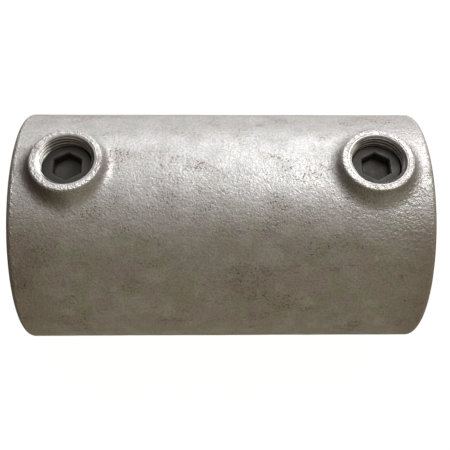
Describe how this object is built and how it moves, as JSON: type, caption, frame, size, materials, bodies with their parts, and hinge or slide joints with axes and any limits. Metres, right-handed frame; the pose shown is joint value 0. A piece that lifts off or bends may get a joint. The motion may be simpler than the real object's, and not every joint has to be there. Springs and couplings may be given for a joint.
{
  "type": "tube sleeve coupling",
  "caption": "Straight galvanised cast sleeve that joins two tubes end to end, with a tapped boss and a socket set screw near each end.",
  "frame": {"origin": "on the bore's axis, at the middle of the sleeve's length", "axes": "+X along the bore, towards the right-hand set screw; +Z along both tapped bosses, out of the sleeve"},
  "size_m": [0.124, 0.073, 0.076],
  "materials": {
    "galvanised_casting": "hot-dip galvanised, pebbly as cast",
    "black_screw_steel": "black oxide, lightly oiled"
  },
  "bodies": {
    "sleeve": {"sleeve_body": "galvanised_casting"},
    "screw_left": {"set_screw_left": "black_screw_steel"},
    "screw_right": {"set_screw_right": "black_screw_steel"}
  },
  "joints": [
    {"name": "screw_left_travel", "type": "slide", "parent": "sleeve", "child": "screw_left", "axis": [0, 0, 1], "range_m": [-0.00134, 0.00668]},
    {"name": "screw_right_travel", "type": "slide", "parent": "sleeve", "child": "screw_right", "axis": [0, 0, 1], "range_m": [-0.00134, 0.00668]}
  ]
}
